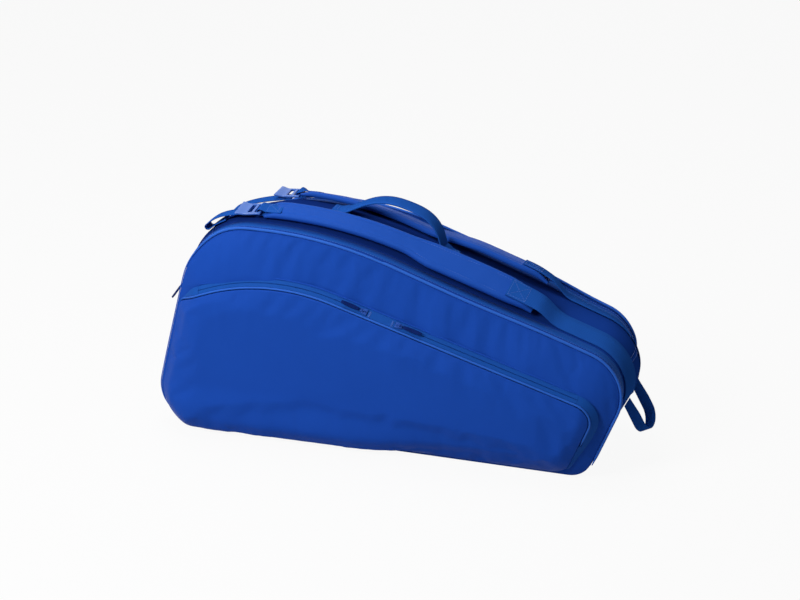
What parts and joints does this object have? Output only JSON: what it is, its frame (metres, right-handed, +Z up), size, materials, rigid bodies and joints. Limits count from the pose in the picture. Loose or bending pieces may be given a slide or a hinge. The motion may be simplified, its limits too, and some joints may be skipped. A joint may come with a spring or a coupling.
{
  "type": "racket tournament bag",
  "caption": "Wedge-shaped padded racket bag with two zipped side compartments, an arched front pocket, shoulder straps with ladder locks, a grab handle and a haul loop.",
  "frame": {"origin": "on the flat underside of the base panel, below the middle of the bag's length and depth", "axes": "+X along the bag towards the tail end where racket handles lie, -Y out of the front panel with the pocket, +Z up"},
  "size_m": [0.7822, 0.2435, 0.376],
  "materials": {
    "panel_cloth": "coated polyester, satin",
    "gusset_cloth": "ribbed polyester, matt",
    "base_cloth": "coated polyester, matt",
    "lining_cloth": "plain lining, matt",
    "strap_cloth": "padded polyester, matt",
    "webbing": "woven webbing",
    "piping": "covered cord, satin",
    "zip_tape": "coil zip",
    "lock_plastic": "moulded, satin",
    "slider_metal": "painted, satin",
    "pull_rubber": "moulded, matt"
  },
  "bodies": {
    "carcass": {"base_panel": "base_cloth", "head_end_gusset": "gusset_cloth", "spine_gusset": "gusset_cloth", "tail_end_gusset": "gusset_cloth", "centre_divider": "lining_cloth", "front_zip_body_half": "zip_tape", "rear_zip_body_half": "zip_tape", "front_strap_anchor": "webbing", "rear_strap_anchor": "webbing", "front_webbing_tail": "webbing", "rear_webbing_tail": "webbing", "handle_tab_head": "webbing", "handle_tab_tail": "webbing"},
    "front_lid": {"front_panel": "panel_cloth", "front_rim_gusset": "gusset_cloth", "front_piping": "piping", "front_zip_lid_half": "zip_tape", "pocket_zip_left_upper": "zip_tape", "pocket_zip_right_upper": "zip_tape"},
    "rear_lid": {"rear_panel": "panel_cloth", "rear_rim_gusset": "gusset_cloth", "rear_piping": "piping", "rear_zip_lid_half": "zip_tape"},
    "pocket": {"pocket_panel": "panel_cloth", "pocket_piping": "piping", "pocket_zip_left_lower": "zip_tape", "pocket_zip_right_lower": "zip_tape", "pocket_zip_bridge": "gusset_cloth", "pocket_tail_gusset": "gusset_cloth"},
    "front_strap": {"front_strap_pad": "strap_cloth", "front_strap_webbing": "webbing", "front_adjuster_tab": "webbing"},
    "rear_strap": {"rear_strap_pad": "strap_cloth", "rear_strap_webbing": "webbing", "rear_adjuster_tab": "webbing"},
    "front_lock": {"front_ladder_lock": "lock_plastic"},
    "rear_lock": {"rear_ladder_lock": "lock_plastic"},
    "handle": {"grab_handle": "webbing"},
    "tail_loop": {"haul_loop": "webbing"},
    "front_zip_slider": {"front_slider": "slider_metal"},
    "front_zip_pull": {"front_pull": "pull_rubber"},
    "rear_zip_slider": {"rear_slider": "slider_metal"},
    "rear_zip_pull": {"rear_pull": "pull_rubber"},
    "pocket_left_zip_slider": {"pocket_left_slider": "slider_metal"},
    "pocket_left_zip_pull": {"pocket_left_pull": "pull_rubber"},
    "pocket_right_zip_slider": {"pocket_right_slider": "slider_metal"},
    "pocket_right_zip_pull": {"pocket_right_pull": "pull_rubber"}
  },
  "joints": [
    {"name": "front_lid_open", "type": "hinge", "parent": "carcass", "child": "front_lid", "pos_m": [0, -0.0955, 0.004], "axis": [1, 0, 0], "range_deg": [0, 50]},
    {"name": "rear_lid_open", "type": "hinge", "parent": "carcass", "child": "rear_lid", "pos_m": [0, 0.0955, 0.004], "axis": [-1, 0, 0], "range_deg": [0, 50]},
    {"name": "pocket_open", "type": "hinge", "parent": "front_lid", "child": "pocket", "pos_m": [0, -0.10123, 0.009], "axis": [1, 0, 0], "range_deg": [0, 18]},
    {"name": "handle_swing", "type": "hinge", "parent": "carcass", "child": "handle", "pos_m": [-0.08426, 0, 0.35662], "axis": [0.9605, 0, -0.2782], "range_deg": [-35, 35]},
    {"name": "front_strap_lift", "type": "hinge", "parent": "carcass", "child": "front_strap", "pos_m": [0.26461, -0.04536, 0.22786], "axis": [0.0757, 0.9739, 0.2139], "range_deg": [0, 25]},
    {"name": "rear_strap_lift", "type": "hinge", "parent": "carcass", "child": "rear_strap", "pos_m": [0.26294, 0.04536, 0.22786], "axis": [-0.1194, 0.9697, -0.2129], "range_deg": [0, 25]},
    {"name": "front_lock_tilt", "type": "hinge", "parent": "front_strap", "child": "front_lock", "pos_m": [-0.20678, -0.04643, 0.35854], "axis": [0.0008, 0.9739, 0.2268], "range_deg": [0, 40]},
    {"name": "rear_lock_tilt", "type": "hinge", "parent": "rear_strap", "child": "rear_lock", "pos_m": [-0.17847, 0.04739, 0.35196], "axis": [-0.0016, 0.9254, -0.379], "range_deg": [0, 40]},
    {"name": "tail_loop_swing", "type": "hinge", "parent": "carcass", "child": "tail_loop", "pos_m": [0.36477, 0, 0.11247], "axis": [-0.188, -0.8145, -0.5488], "range_deg": [0, 100]},
    {"name": "front_zip_run", "type": "slide", "parent": "carcass", "child": "front_zip_slider", "axis": [-0.2365, 0, -0.9716], "range_m": [-0.018, 0.155]},
    {"name": "rear_zip_run", "type": "slide", "parent": "carcass", "child": "rear_zip_slider", "axis": [-0.2365, 0, -0.9716], "range_m": [-0.018, 0.155]},
    {"name": "pocket_left_zip_run", "type": "slide", "parent": "pocket", "child": "pocket_left_zip_slider", "axis": [-0.9568, 0, 0.2907], "range_m": [0, 0.045]},
    {"name": "pocket_right_zip_run", "type": "slide", "parent": "pocket", "child": "pocket_right_zip_slider", "axis": [0.9568, 0, -0.2907], "range_m": [0, 0.27]},
    {"name": "front_pull_flip", "type": "hinge", "parent": "front_zip_slider", "child": "front_zip_pull", "pos_m": [-0.32908, -0.0735, 0.23692], "axis": [0, 1, 0], "range_deg": [0, 150]},
    {"name": "rear_pull_flip", "type": "hinge", "parent": "rear_zip_slider", "child": "rear_zip_pull", "pos_m": [-0.32908, 0.0735, 0.23692], "axis": [0, 1, 0], "range_deg": [0, 150]},
    {"name": "pocket_left_pull_flip", "type": "hinge", "parent": "pocket_left_zip_slider", "child": "pocket_left_zip_pull", "pos_m": [-0.02196, -0.12146, 0.2434], "axis": [0.2056, 0.7071, 0.6766], "range_deg": [0, 150]},
    {"name": "pocket_right_pull_flip", "type": "hinge", "parent": "pocket_right_zip_slider", "child": "pocket_right_zip_pull", "pos_m": [0.0321, -0.12146, 0.22698], "axis": [-0.2056, -0.7071, -0.6766], "range_deg": [0, 150]}
  ]
}
